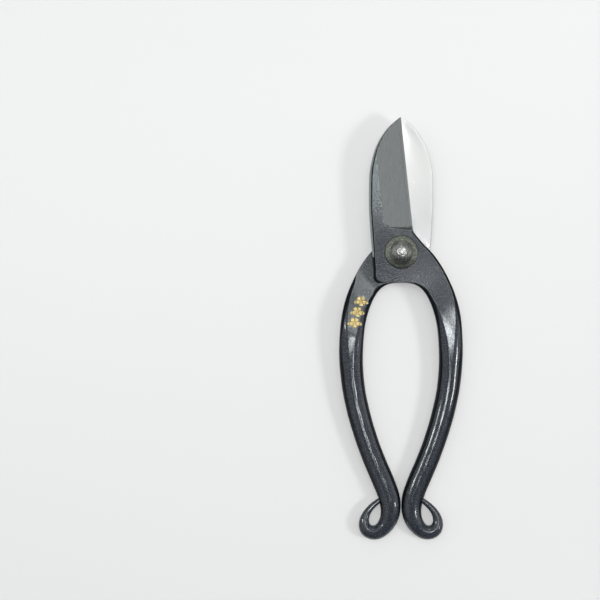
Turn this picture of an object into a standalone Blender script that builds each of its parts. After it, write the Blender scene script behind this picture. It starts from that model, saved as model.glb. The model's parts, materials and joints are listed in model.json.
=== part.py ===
"""Floral snips: two forged halves that cross on a peened rivet with domed washers.

Frame: metres, +Z up. The origin is on the pivot axis, at the flat end of the rear rivet head, which is
where the snips rest on a table. +Y runs to the blade points and +X to the front half's handle.
Sizes below are in millimetres. Heights inside a half are measured from the parting plane, the plane
between the two halves.
"""

import math
from collections import namedtuple

import bmesh
import bpy
import numpy as np
from mathutils import Matrix, Vector

MM = 0.001

# Heights
FACE_GAP = 0.15  # from the parting plane to each half's inner face
PLATE_THICKNESS = 3.6
FACE_HEIGHT = FACE_GAP + PLATE_THICKNESS
BAR_HALF_HEIGHT = 4.2

# Blade
POINT_Y = 57.5
PLUNGE_TOP_Y = 14.3  # where the ground bevel starts to end
ROOT_Y = 8.6  # where the shoulder starts
EDGE_TOP_X = -0.05  # the cutting edge is a straight line from here, at the point ...
EDGE_ROOT_X = 5.2  # ... to here, at the root
EDGE_THICKNESS = 0.35
BEVEL_SLOPE = 0.275  # height gained for each millimetre from the cutting edge
PLUNGE_RADIUS = 4.2
PLUNGE_END_Y = 9.1

# Roundings of the long edges, as widths seen from the front
PLATE_ROUND = 1.35
CUTTING_ROUND = 0.1
INNER_FACE_ROUND = 0.2
FULL_ROUND = 0.93  # share of the half-width that is rounded on the round bar

# Distances from the pivot between which the plate turns into the bar
RAMP_START, RAMP_END = 17.0, 42.0
ROUNDING_START, ROUNDING_END = 20.0, 50.0

# Rivet and washers
RIVET_RADIUS = 1.75
RUNNING_GAP = 0.08
SEAT_GAP = 0.25
WASHER_RADIUS = 7.1
WASHER_DOME_RADIUS = 4.9
WASHER_BRIM = 0.75
WASHER_HEIGHT = 2.35
RIVET_HEAD_RADIUS = 2.15
RIVET_HEAD_HEIGHT = 0.7
RIVET_END_HEIGHT = FACE_HEIGHT + WASHER_HEIGHT + 2 * SEAT_GAP + RIVET_HEAD_HEIGHT

# Gold-filled blossoms stamped in the rear half's handle, as places in that half's own frame
BLOSSOMS = {
    "mark_inlay_upper": (17.0, -20.8),
    "mark_inlay_middle": (18.6, -25.3),
    "mark_inlay_lower": (19.8, -29.9),
}
BLOSSOM_RADIUS = 2.3
BLOSSOM_POINTS = 60
LEAF_REACH = 3.2  # from the blossom's centre to the tip of each of its two leaves
LEAF_SPREAD = 48  # degrees each side of the leaf's middle
LEAF_LIFT = 12  # degrees by which the leaves lean towards the pivot
INLAY_THICKNESS = 0.5
INLAY_PROUD = 0.05
POCKET_GAP = 0.2

TURNED_STEPS = 40
ARC_STEPS = 4  # section points along each rounded edge
FLAT_STEPS = 2  # section points across each flat stretch

# The blade's back, from the root to the point: y, x
SPINE = (
    (8.6, -13.1),
    (13.0, -13.4),
    (20.0, -13.7),
    (28.0, -13.65),
    (34.0, -13.4),
    (40.0, -12.25),
    (45.0, -10.65),
    (50.0, -7.9),
    (54.0, -4.6),
    (57.5, -0.4),
)

# Sections of the joint plate and the handle's root, from the blade's root down. Each joins a place on the
# back of the blade, and so on the bow's inside, to one on the shoulder, and so on the bow's outside.
# The fifth value is the rounding of the first side.
PLATE_SECTIONS = (
    (-13.1, 8.6, 5.2, 8.6, 1.35),
    (-12.8, 4.5, 8.5, 4.6, 1.35),
    (-12.35, 0.0, 12.0, 0.9, 1.35),
    (-11.9, -5.0, 14.2, -1.6, 1.35),
    (-11.6, -9.5, 15.7, -3.7, 1.35),
    (-11.3, -11.9, 16.4, -4.7, 1.2),
    (-10.1, -12.9, 16.9, -5.5, 1.0),
    (-7.0, -13.0, 17.7, -6.8, 0.8),
    (-2.0, -13.0, 18.8, -8.8, 0.8),
    (2.6, -13.1, 19.7, -10.5, 0.9),
    (5.8, -13.8, 20.5, -12.2, 1.1),
    (8.4, -15.4, 21.5, -14.4, 1.3),
    (10.7, -18.2, 22.9, -18.0, 1.5),
    (12.7, -22.2, 24.25, -22.4, 1.5),
    (14.3, -27.0, 25.3, -27.5, 1.5),
    (15.5, -33.0, 26.0, -33.5, 1.5),
    (16.1, -40.0, 26.35, -40.0, 1.5),
)

# The bow and the curl at its end: centre x, centre y, width
BAR_SECTIONS = (
    (21.15, -47.5, 10.0),
    (20.15, -58.0, 9.6),
    (18.1, -68.0, 9.45),
    (15.1, -78.3, 9.25),
    (11.35, -88.5, 9.2),
    (7.3, -98.0, 9.2),
    (4.65, -106.2, 8.85),
    (4.75, -112.0, 8.0),
    (7.45, -117.2, 6.7),
    (11.7, -119.35, 6.1),
    (15.0, -117.6, 5.4),
    (15.6, -114.0, 4.1),
    (13.95, -110.1, 3.0),
    (11.85, -107.75, 2.5),
    (10.1, -106.4, 2.2),
)
CURL_START_ROW = len(PLATE_SECTIONS) + 6
CURL_HEIGHT_SHARE = 0.48  # the curl's half height as a share of its width

Station = namedtuple(
    "Station", "left right top bar_half left_round right_round bevel depth scale"
)


def clear_scene():
    for obj in list(bpy.data.objects):
        bpy.data.objects.remove(obj)


def new_collection(name):
    collection = bpy.data.collections.new(name)
    bpy.context.scene.collection.children.link(collection)
    return collection


def steel(name, colour, roughness, metallic=1.0):
    material = bpy.data.materials.new(name)
    material.use_nodes = True
    shader = material.node_tree.nodes["Principled BSDF"]
    shader.inputs["Base Color"].default_value = (*colour, 1.0)
    shader.inputs["Roughness"].default_value = roughness
    shader.inputs["Metallic"].default_value = metallic
    return material


def smoothstep(value, start, end):
    t = min(1.0, max(0.0, (value - start) / (end - start)))
    return t * t * (3 - 2 * t)


def mix(a, b, share):
    return a + (b - a) * share


def natural_spline(knots, values, at):
    """The natural cubic spline through each row of values, read at the knot positions in at."""
    knots = np.asarray(knots, float)
    values = np.asarray(values, float)
    gap = np.diff(knots)
    slope = np.diff(values, axis=0) / gap[:, None]
    count = len(knots)
    system = np.eye(count)
    right = np.zeros_like(values)
    for i in range(1, count - 1):
        system[i, i - 1 : i + 2] = gap[i - 1], 2 * (gap[i - 1] + gap[i]), gap[i]
        right[i] = 6 * (slope[i] - slope[i - 1])
    bend = np.linalg.solve(system, right)
    at = np.asarray(at, float)
    i = np.clip(np.searchsorted(knots, at, side="right") - 1, 0, count - 2)
    span = gap[i][:, None]
    late = (at - knots[i])[:, None] / span
    early = 1 - late
    curve = (early**3 - early) * bend[i] + (late**3 - late) * bend[i + 1]
    return early * values[i] + late * values[i + 1] + curve * span**2 / 6


def edge_x(y):
    """The cutting edge's x at height y."""
    return mix(EDGE_ROOT_X, EDGE_TOP_X, (y - ROOT_Y) / (POINT_Y - ROOT_Y))


def plunge_x(y):
    """Where the bevel's lower border runs: a rounded corner, then a line towards the cutting edge."""
    corner_x = edge_x(PLUNGE_TOP_Y) - full_bevel_width() + PLUNGE_RADIUS
    turn_y = PLUNGE_TOP_Y - PLUNGE_RADIUS
    if y >= turn_y:
        down = PLUNGE_TOP_Y - y
        return corner_x - math.sqrt(max(0.0, PLUNGE_RADIUS**2 - down**2))
    share = (turn_y - y) / (turn_y - PLUNGE_END_Y)
    return mix(corner_x, EDGE_ROOT_X - PLATE_ROUND, share)


def full_bevel_width():
    return (PLATE_THICKNESS - EDGE_THICKNESS) / BEVEL_SLOPE


def blade_station(y):
    """The blade's section at height y: a back with a chamfer, a flat and a ground bevel."""
    knots, back = zip(*SPINE)
    back_x = natural_spline(knots, np.array(back)[:, None], [y])[0, 0]
    width = edge_x(y) - back_x
    left_round = min(PLATE_ROUND, 0.12 * width**0.9)
    thickness = min(PLATE_THICKNESS, EDGE_THICKNESS + BEVEL_SLOPE * (width - left_round))
    bevel = (thickness - EDGE_THICKNESS) / BEVEL_SLOPE
    if y < PLUNGE_TOP_Y:
        bevel = edge_x(y) - max(plunge_x(y), edge_x(y) - bevel)
    depth = (thickness - EDGE_THICKNESS) * smoothstep(y, ROOT_Y, PLUNGE_END_Y + 0.4)
    right_round = mix(PLATE_ROUND, CUTTING_ROUND, smoothstep(y, ROOT_Y, PLUNGE_END_Y + 0.4))
    return Station(
        Vector((back_x, y)),
        Vector((edge_x(y), y)),
        FACE_GAP + thickness,
        BAR_HALF_HEIGHT,
        left_round,
        right_round,
        max(bevel, right_round * 1.02),
        depth,
        1.0,
    )


def blade_heights():
    """Section heights from the point to the root, close together where the bevel ends."""
    long_part = [57.5, 57.0, 56.0, 54.5, 52.5, 50.0, 47.0, 44.0, 40.5, 37.0, 32.0, 26.0, 20.0, 15.5]
    plunge = [12.9, 12.2, 11.3, 10.6, 10.15, 9.9, 9.65, 9.4, 9.2, 9.0, 8.8]
    return long_part + plunge


def section_table():
    """Every control section below the root as left x, left y, right x, right y, left rounding, height."""
    rows = [(*row, BAR_HALF_HEIGHT) for row in PLATE_SECTIONS]
    before = Vector(((PLATE_SECTIONS[-1][0] + PLATE_SECTIONS[-1][2]) / 2, PLATE_SECTIONS[-1][1]))
    centres = [before] + [Vector(row[:2]) for row in BAR_SECTIONS]
    centres.append(2 * centres[-1] - centres[-2])
    for i, (x, y, width) in enumerate(BAR_SECTIONS, start=1):
        along = (centres[i + 1] - centres[i]).normalized() + (centres[i] - centres[i - 1]).normalized()
        along.normalize()
        inward = Vector((along.y, -along.x)) * width / 2
        height = BAR_HALF_HEIGHT
        if len(rows) >= CURL_START_ROW:
            height = min(height, CURL_HEIGHT_SHARE * width)
        rows.append((x + inward.x, y + inward.y, x - inward.x, y - inward.y, 1.5, height))
    return np.array(rows)


def handle_stations(spacing=3.0):
    """Stations from the blade's root to the end of the curl, along a spline through both rails."""
    table = section_table()
    rails = [table[:, 0:2], table[:, 2:4]]
    knots = []
    for rail in rails:
        steps = np.linalg.norm(np.diff(rail, axis=0), axis=1)
        knots.append(np.concatenate([[0.0], np.cumsum(steps)]))
    places = []
    for row in range(len(table) - 1):
        longest = max(knots[0][row + 1] - knots[0][row], knots[1][row + 1] - knots[1][row])
        turning = spacing if row < CURL_START_ROW - 1 else spacing / 2
        count = max(1, round(longest / turning))
        places += [row + i / count for i in range(count)]
    places.append(len(table) - 1.0)
    order = np.arange(len(table), dtype=float)
    left = natural_spline(knots[0], rails[0], np.interp(places, order, knots[0]))
    right = natural_spline(knots[1], rails[1], np.interp(places, order, knots[1]))
    rounds = np.interp(places, order, table[:, 4])
    heights = np.interp(places, order, table[:, 5])
    stations = []
    for l, r, left_round, height in zip(left, right, rounds, heights):
        bevel = PLATE_ROUND * 1.02
        stations.append(
            Station(Vector(l), Vector(r), FACE_HEIGHT, height, left_round, PLATE_ROUND, bevel, 0.0, 1.0)
        )
    return stations + rounded_end(stations[-1], stations[-2])


def rounded_end(last, previous):
    """Shrinking copies of the last station, which close the curl with a round nose."""
    along = (last.left + last.right - previous.left - previous.right).normalized()
    reach = (last.right - last.left).length / 2
    ends = []
    for angle in (30, 55, 75):
        share = math.cos(math.radians(angle))
        move = along * reach * math.sin(math.radians(angle))
        middle = (last.left + last.right) / 2
        ends.append(
            last._replace(
                left=middle + (last.left - middle) * share + move,
                right=middle + (last.right - middle) * share + move,
                bar_half=last.bar_half * share,
                scale=share,
            )
        )
    return ends


def reach_of(x, y):
    """Distance from the pivot on the handle's side, and zero on the blade's side."""
    return math.hypot(x, y) if y < 0 else 0.0


def face_level(x, y, station):
    """Height of the front face before its edges are rounded."""
    return mix(station.top, station.bar_half, smoothstep(reach_of(x, y), RAMP_START, RAMP_END))


def inner_level(x, y, bar_half):
    """Height of the inner face: flat in the joint, then down the ramp to the bar's underside."""
    return mix(FACE_GAP, -bar_half, smoothstep(reach_of(x, y), RAMP_START, RAMP_END))


def edge_rounding(station, plate_round, middle):
    """Width and height of a rounded edge, which grow from the plate's edge to the whole bar."""
    share = smoothstep(reach_of(*middle), ROUNDING_START, ROUNDING_END)
    half_width = (station.right - station.left).length / 2
    width = mix(plate_round, FULL_ROUND * half_width, share)
    height = mix(plate_round, 0.97 * station.bar_half, share)
    return width, height


def side_samples(width, rounds, flats, steps):
    """Distances across a section, with the share of each edge's drop at them, from left to right."""
    (left_w, left_h), (right_w, right_h) = rounds
    samples = []
    for i in range(ARC_STEPS + 1):
        angle = math.radians(90 * i / ARC_STEPS)
        samples.append((left_w * (1 - math.cos(angle)), left_h * (1 - math.sin(angle))))
    start = left_w
    for end in (*flats, width - right_w):
        samples += [(mix(start, end, i / steps), 0.0) for i in range(1, steps + 1)]
        start = end
    for i in range(1, ARC_STEPS + 1):
        angle = math.radians(90 * i / ARC_STEPS)
        samples.append((width - right_w * (1 - math.sin(angle)), right_h * (1 - math.cos(angle))))
    return samples


def section_points(station):
    """The closed ring of points round one section: over the front face, then back under the inner face."""
    across = station.right - station.left
    width = across.length
    across.normalize()
    middle = (station.left + station.right) / 2
    top_rounds = [
        edge_rounding(station, station.left_round, middle),
        edge_rounding(station, station.right_round, middle),
    ]
    inner_round = mix(INNER_FACE_ROUND, 1.5, smoothstep(reach_of(*middle), 14.0, 21.0))
    inner_right = min(inner_round, station.right_round / 2) if middle.y > 0 else inner_round
    low_rounds = [
        edge_rounding(station, min(inner_round, station.left_round), middle),
        edge_rounding(station, inner_right, middle),
    ]
    bevel_at = max(width - station.bevel, top_rounds[0][0] * 1.01)
    bevel_at = min(bevel_at, width - top_rounds[1][0] * 1.01)
    ring = []
    for distance, drop in side_samples(width, top_rounds, (bevel_at,), FLAT_STEPS):
        point = station.left + across * distance
        level = face_level(point.x, point.y, station)
        ground = station.depth * max(0.0, (distance - bevel_at) / (width - bevel_at))
        ring.append((point.x, point.y, level - ground - drop))
    low = side_samples(width, low_rounds, (), FLAT_STEPS + 1)
    for distance, drop in reversed(low):
        point = station.left + across * distance
        level = inner_level(point.x, point.y, station.bar_half)
        ring.append((point.x, point.y, level + drop))
    return ring


def loft(name, rings):
    """A closed mesh through equal rings of points, with both ends capped."""
    shape = bmesh.new()
    rows = [[shape.verts.new(Vector(p) * MM) for p in ring] for ring in rings]
    for upper, lower in zip(rows, rows[1:]):
        for i in range(len(upper)):
            j = (i + 1) % len(upper)
            shape.faces.new((upper[i], upper[j], lower[j], lower[i]))
    shape.faces.new(list(reversed(rows[0])))
    shape.faces.new(rows[-1])
    bmesh.ops.recalc_face_normals(shape, faces=shape.faces)
    mesh = bpy.data.meshes.new(name)
    shape.to_mesh(mesh)
    shape.free()
    mesh.shade_smooth()
    mesh.set_sharp_from_angle(angle=math.radians(35))
    return mesh


def half_mesh():
    stations = [blade_station(y) for y in blade_heights()]
    stations += handle_stations()
    return loft("forged_half", [section_points(station) for station in stations])


def place(obj, collection, parent, material=None):
    collection.objects.link(obj)
    obj.parent = parent
    if material:
        obj.data.materials.append(material)
    return obj


def cut(target, cutter):
    modifier = target.modifiers.new("cut_" + cutter.name, "BOOLEAN")
    modifier.operation = "DIFFERENCE"
    modifier.object = cutter


def as_cutter(obj):
    obj.hide_render = True
    obj.display_type = "WIRE"
    return obj


def turned(name, profile):
    """A solid of revolution about Z from a profile of radius and height, run from the top of its axis down."""
    mesh = bpy.data.meshes.new(name)
    points = [(radius * MM, 0.0, height * MM) for radius, height in profile]
    mesh.from_pydata(points, [(i, i + 1) for i in range(len(points) - 1)], [])
    obj = bpy.data.objects.new(name, mesh)
    screw = obj.modifiers.new("turn", "SCREW")
    screw.steps = screw.render_steps = TURNED_STEPS
    screw.use_merge_vertices = True
    screw.merge_threshold = 0.00001
    screw.use_smooth_shade = True
    return obj


def cylinder(name, radius, length):
    """A closed cylinder about Z, centred on the origin."""
    shape = bmesh.new()
    bmesh.ops.create_cone(
        shape,
        cap_ends=True,
        segments=TURNED_STEPS,
        radius1=radius * MM,
        radius2=radius * MM,
        depth=length * MM,
    )
    mesh = bpy.data.meshes.new(name)
    shape.to_mesh(mesh)
    shape.free()
    return bpy.data.objects.new(name, mesh)


def rivet_profile():
    """Half of the rivet's outline: a peened head with a flat end, the shank, and the same head again."""
    top = RIVET_END_HEIGHT
    seat = top - RIVET_HEAD_HEIGHT
    head = [
        (0.0, top),
        (1.3, top),
        (1.75, top - 0.15),
        (RIVET_HEAD_RADIUS, top - 0.5),
        (RIVET_HEAD_RADIUS - 0.05, seat),
        (RIVET_RADIUS, seat),
    ]
    return head + [(radius, -height) for radius, height in reversed(head)]


def washer_profile():
    """The outline of a pressed washer: a flat brim, a step and a dome with the rivet's hole in its top."""
    hole = RIVET_RADIUS + RUNNING_GAP
    dome = []
    for angle in range(75, -1, -15):
        share = math.radians(angle)
        dome.append((mix(hole, WASHER_DOME_RADIUS, math.cos(share)), mix(1.2, WASHER_HEIGHT, math.sin(share))))
    outer = [(hole, WASHER_HEIGHT)] + dome
    outer += [(5.15, 1.0), (6.3, WASHER_BRIM), (6.85, 0.55), (WASHER_RADIUS, 0.25), (WASHER_RADIUS - 0.05, 0.0)]
    under = [(4.3, 0.0), (3.9, 0.7), (3.0, 1.15), (hole, 1.35)]
    outline = outer + under
    return outline + [outline[0]]


def leaf_radius(angle, middle):
    """Reach of a pointed leaf that starts at the blossom's centre, at a bearing in degrees."""
    away = abs((angle - middle + 180) % 360 - 180)
    return LEAF_REACH * math.sqrt(max(0.0, 1 - away / LEAF_SPREAD))


def blossom_outline(margin):
    """Five petals with a leaf on either side, as points round the origin, by bearing from +Y."""
    points = []
    for i in range(BLOSSOM_POINTS):
        bearing = 360 * i / BLOSSOM_POINTS
        petal = abs(math.cos(math.radians(2.5 * bearing))) ** 0.6
        radius = max(
            BLOSSOM_RADIUS * mix(0.72, 1.0, petal),
            leaf_radius(bearing, 90 - LEAF_LIFT),
            leaf_radius(bearing, 270 + LEAF_LIFT),
        )
        turn = math.radians(bearing)
        points.append(((radius + margin) * math.sin(turn), (radius + margin) * math.cos(turn)))
    return points


def flat_shape(name, points, low, high):
    """A flat outline thickened from low to high, as a mesh whose caps are welded."""
    curve = bpy.data.curves.new(name, "CURVE")
    curve.dimensions = "2D"
    curve.fill_mode = "BOTH"
    curve.extrude = (high - low) / 2 * MM
    spline = curve.splines.new("POLY")
    spline.points.add(len(points) - 1)
    for target, (x, y) in zip(spline.points, points):
        target.co = (x * MM, y * MM, 0.0, 1.0)
    spline.use_cyclic_u = True
    outline = bpy.data.objects.new(name + "_outline", curve)
    bpy.context.scene.collection.objects.link(outline)
    graph = bpy.context.evaluated_depsgraph_get()
    mesh = bpy.data.meshes.new_from_object(outline.evaluated_get(graph))
    bpy.data.objects.remove(outline)
    mesh.transform(Matrix.Translation((0, 0, (low + high) / 2 * MM)))
    shape = bmesh.new()
    shape.from_mesh(mesh)
    bmesh.ops.remove_doubles(shape, verts=shape.verts, dist=1e-6)
    bmesh.ops.recalc_face_normals(shape, faces=shape.faces)
    shape.to_mesh(mesh)
    shape.free()
    return bpy.data.objects.new(name, mesh)


def facet_frame(x, y):
    """Where a stamp sits on the inner side of the handle, in the half's own frame: +Z leaves the metal."""
    step = 0.5
    height = inner_level(x, y, BAR_HALF_HEIGHT)
    rise_x = (inner_level(x + step, y, BAR_HALF_HEIGHT) - height) / step
    rise_y = (inner_level(x, y + step, BAR_HALF_HEIGHT) - height) / step
    out = Vector((rise_x, rise_y, -1)).normalized()
    side = Vector((1, 0, 0)) - out * out.x
    side.normalize()
    up = out.cross(side)
    turn = Matrix((side, up, out)).transposed().to_4x4()
    return Matrix.Translation(Vector((x, y, height)) * MM) @ turn


def build_halves(parts, cutters, pivot):
    """Both halves share one mesh: the rear one is the front one turned half round the length axis."""
    lacquer = steel("black_lacquered_steel", (0.035, 0.04, 0.05), 0.3, 0.6)
    mesh = half_mesh()
    mesh.materials.append(lacquer)
    front = place(bpy.data.objects.new("front_half", mesh), parts, pivot)
    rear = place(bpy.data.objects.new("rear_half", mesh), parts, pivot)
    rear.rotation_euler.y = math.pi
    bore = as_cutter(place(cylinder("rivet_bore", RIVET_RADIUS + RUNNING_GAP, 30), cutters, pivot))
    cut(front, bore)
    cut(rear, bore)
    return front, rear


def build_rivet(parts, pivot):
    metal = steel("peened_steel", (0.62, 0.62, 0.6), 0.3)
    place(turned("pivot_rivet", rivet_profile()), parts, pivot, metal)


def build_washers(parts, pivot):
    metal = steel("washer_steel", (0.3, 0.3, 0.26), 0.35)
    front = place(turned("front_washer", washer_profile()), parts, pivot, metal)
    front.location.z = (FACE_HEIGHT + SEAT_GAP) * MM
    rear = place(turned("rear_washer", washer_profile()), parts, pivot, metal)
    rear.location.z = -(FACE_HEIGHT + SEAT_GAP) * MM
    rear.rotation_euler.y = math.pi


def build_blossoms(parts, cutters, rear):
    """The three gold inlays, each in a pocket of its own outline."""
    gold = steel("gold_fill", (0.75, 0.55, 0.2), 0.4)
    bottom = INLAY_PROUD - INLAY_THICKNESS
    for name, (x, y) in BLOSSOMS.items():
        seat = facet_frame(x, y)
        inlay = flat_shape(name, blossom_outline(0.0), bottom, INLAY_PROUD)
        place(inlay, parts, rear, gold)
        inlay.matrix_local = seat
        pocket = flat_shape(name + "_pocket", blossom_outline(POCKET_GAP), bottom - POCKET_GAP, 1.5)
        as_cutter(place(pocket, cutters, rear))
        pocket.matrix_local = seat
        cut(rear, pocket)


def main():
    clear_scene()
    parts = new_collection("floral_snips")
    cutters = new_collection("cutters")
    pivot = bpy.data.objects.new("pivot", None)
    parts.objects.link(pivot)
    pivot.location.z = RIVET_END_HEIGHT * MM
    _, rear = build_halves(parts, cutters, pivot)
    build_rivet(parts, pivot)
    build_washers(parts, pivot)
    build_blossoms(parts, cutters, rear)


main()
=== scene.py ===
"""Looks of the floral snips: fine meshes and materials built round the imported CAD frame.

Lengths in the tables below are in millimetres, in the frame of one forged half: X and Y as in the CAD frame,
heights from the parting plane between the two halves. The rear half is the same forging turned half round
the length axis.
"""

import json
import math
from collections import namedtuple

import bmesh
import bpy
import numpy as np
from mathutils import Matrix, Vector


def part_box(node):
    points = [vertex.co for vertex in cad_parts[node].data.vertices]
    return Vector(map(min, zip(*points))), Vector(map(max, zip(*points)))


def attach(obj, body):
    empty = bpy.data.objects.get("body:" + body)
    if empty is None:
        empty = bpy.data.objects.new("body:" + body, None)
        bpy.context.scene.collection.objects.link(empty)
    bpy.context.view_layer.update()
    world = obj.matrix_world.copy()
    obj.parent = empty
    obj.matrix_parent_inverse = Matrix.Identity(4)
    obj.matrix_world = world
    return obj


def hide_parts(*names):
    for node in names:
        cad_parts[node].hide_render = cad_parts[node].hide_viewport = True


MM = 0.001

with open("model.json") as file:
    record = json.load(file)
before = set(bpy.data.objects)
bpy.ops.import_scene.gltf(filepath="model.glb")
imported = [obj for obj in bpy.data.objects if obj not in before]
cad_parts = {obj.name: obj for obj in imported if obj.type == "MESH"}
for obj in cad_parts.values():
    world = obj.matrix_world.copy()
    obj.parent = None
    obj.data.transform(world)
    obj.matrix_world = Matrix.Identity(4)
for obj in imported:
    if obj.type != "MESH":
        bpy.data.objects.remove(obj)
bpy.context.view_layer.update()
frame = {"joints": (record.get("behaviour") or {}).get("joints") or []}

# What the frame says
PARTING_Z = frame["joints"][0]["pos_m"][2]
WASHER_LOW, WASHER_HIGH = (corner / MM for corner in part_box("front_washer"))
RIVET_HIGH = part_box("pivot_rivet")[1] / MM
POINT_Y = (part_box("front_half")[1] / MM).y

# Heights of a half from the parting plane
FACE_HEIGHT = 3.75  # the plate's outer face
FACE_GAP = 0.15  # its inner face
BAR_HALF_HEIGHT = 4.2

# Blade
PLUNGE_TOP_Y = 14.3
ROOT_Y = 8.6
EDGE_TOP_X, EDGE_ROOT_X = -0.05, 5.2
GROUND_THICKNESS = 0.35
BEVEL_SLOPE = 0.262
WALL_SLOPE = 1.9  # of the short wall that closes the bevel at the root
WALL_BLEND, WALL_BLEND_SPAN = 1.0, 2.5  # the wall runs into the bevel over this height, this far in
PLUNGE_RADIUS, PLUNGE_END_Y = 4.2, 9.1
HONED_WIDTH = 0.3  # the small second bevel along the cutting edge
HONED_THICKNESS = 0.06
HOLLOW_DEPTH = 0.09  # the inner face is ground hollow by this much
HOLLOW_RIM = 1.1
HOLLOW_WIDTHS = 3.0, 9.0  # blade widths between which the hollow reaches its depth
HOLLOW_END_Y = 24.0  # it fades out from here to the root

# Roundings of the long edges, as widths seen from the front
PLATE_ROUND = 1.05
SPINE_ROUND = 1.4
SPINE_ROUND_SHARE = 0.085  # of the blade's width, where that is less
CUTTING_ROUND = 0.1
INNER_ROUND = 0.25
EDGE_KINK = 24.0  # the plate's edges start with this turn, in degrees, before they round over
FULL_ROUNDS = (0.9, 0.98), (0.9, 0.9)  # share of the bar's half width rounded, outer side and inner side
CHAMFER_TURNS = ((0.0, 0.3, 0.85, 1.0), (0.0, 45.0, 47.0, 90.0))  # share of the way round, degrees turned

# Distances from the pivot between which the plate turns into the bar
RAMP_START, RAMP_END = 17.0, 42.0
FACE_FALL, FALL_SPAN = 0.8, (29.0, 64.0)  # the outer face sinks a little again further out
INNER_FALL, INNER_FALL_SPAN = 0.35, (27.0, 80.0)
ROUNDING_START, ROUNDING_END = 20.0, 57.0
POLISH_RADIUS = 11.3  # the inner face is ground bright this far round the pivot
FOOT_Y, FOOT_EDGE_SHADE = -14.3, 0.75  # painted shade: the dark painted edge is wider along the foot of the plate, where the plate shades the rear half
BARE_SHARE = 0.58  # the blade's back is rubbed bare over this share of its chamfer
BARE_END_Y = -2.0
CHAMFER_FADE = -7.0, -1.0  # places between which the back's chamfer turns into a plain rounding
WORN_SPAN = -6.0, 32.0  # the skin wears from the plate to the blade
FAR = 3.0  # masks are kept within this distance of their border

# The blade's back, from the root to the point: y, x
SPINE = (
    (8.6, -13.1),
    (13.0, -13.4),
    (20.0, -13.7),
    (28.0, -13.65),
    (34.0, -13.4),
    (40.0, -12.25),
    (45.0, -10.65),
    (50.0, -7.9),
    (54.0, -4.6),
    (57.5, -0.4),
)

# Sections of the joint plate and the handle's root: a place on the blade's back and the bow's inside,
# one on the shoulder and the bow's outside, and the rounding of the first side
PLATE_SECTIONS = (
    (-13.1, 8.6, 5.2, 8.6, SPINE_ROUND),
    (-12.8, 4.5, 8.5, 4.6, SPINE_ROUND),
    (-12.35, 0.0, 12.0, 0.9, 1.25),
    (-11.9, -5.0, 14.2, -1.6, 1.05),
    (-11.6, -9.5, 15.7, -3.7, 0.9),
    (-11.3, -11.9, 16.4, -4.7, 0.85),
    (-10.1, -12.9, 16.9, -5.5, 0.85),
    (-7.0, -13.0, 17.7, -6.8, 0.95),
    (-2.0, -13.0, 18.8, -8.8, 1.0),
    (2.6, -13.1, 19.7, -10.5, 1.05),
    (5.8, -13.8, 20.5, -12.2, 1.1),
    (8.4, -15.4, 21.5, -14.4, 1.3),
    (10.7, -18.2, 22.9, -18.0, 1.5),
    (12.7, -22.2, 24.25, -22.4, 1.5),
    (14.3, -27.0, 25.3, -27.5, 1.5),
    (15.5, -33.0, 26.0, -33.5, 1.5),
    (16.1, -40.0, 26.35, -40.0, 1.5),
)

# The bow and the curl at its end: centre x, centre y, width
BAR_SECTIONS = (
    (21.15, -47.5, 10.0),
    (20.15, -58.0, 9.6),
    (18.1, -68.0, 9.45),
    (15.1, -78.3, 9.25),
    (11.35, -88.5, 9.2),
    (7.3, -98.0, 9.2),
    (4.65, -106.2, 8.85),
    (4.75, -112.0, 8.0),
    (7.45, -117.2, 6.7),
    (11.7, -119.35, 6.1),
    (15.0, -117.6, 5.4),
    (15.6, -114.0, 4.1),
    (13.95, -110.1, 3.0),
    (11.85, -107.75, 2.5),
    (9.35, -105.75, 2.1),
)
CURL_START_ROW = len(PLATE_SECTIONS) + 6
CURL_HEIGHT_SHARE = 0.48

# How finely a half is meshed
STATION_STEP = 0.8
PLUNGE_STEP = 0.14
ARC_STEPS = 11
FLAT_STEPS = (9, 16)  # before and after the bevel line
INNER_FLAT_STEPS = 26
LINE_SUPPORT = 0.1  # the mesh lines either side of the bevel line, which keep it crisp
EDGE_SUPPORT = 0.06  # and those on a flat beside its borders

# The blossoms filled with gold on the rear half's handle, in that half's own frame: x, y
BLOSSOMS = {
    "mark_inlay_upper": (17.0, -20.8),
    "mark_inlay_middle": (18.6, -25.3),
    "mark_inlay_lower": (19.8, -29.9),
}
BLOSSOM_RADIUS = 2.3
LEAF_REACH = 3.2
LEAF_SPREAD = 48  # degrees either side of a leaf's middle
LEAF_LIFT = 12  # degrees by which both leaves point up
BOSS_RADIUS, BOSS_RING = 0.42, 0.58
BLOSSOM_SINK = 0.06  # the gold lies this far under the face
BLOSSOM_RINGS, BLOSSOM_STEPS = 26, 240
POCKET_MARGIN = 0.1
POCKET_DEPTH = 0.4

TURNED_STEPS = 96
BORE_STEPS = 64
BORE_SHARE, SHANK_SHARE = 0.86, 0.84  # of the rivet head's radius
WASHER_CLEARANCE = 0.02  # keeps the washers from grazing the faces they turn on
SHARP_STEEL, SHARP_TURNED, SHARP_GOLD = 32, 40, 50  # edges sharper than this many degrees stay crisp

Station = namedtuple("Station", "left right top bar_half left_round right_round bevel full_bevel on_blade")


# ---------------------------------------------------------------- shape helpers


def smoothstep(value, start, end):
    t = np.clip((value - start) / (end - start), 0.0, 1.0)
    return t * t * (3 - 2 * t)


def mix(a, b, share):
    return a + (b - a) * share


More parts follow.
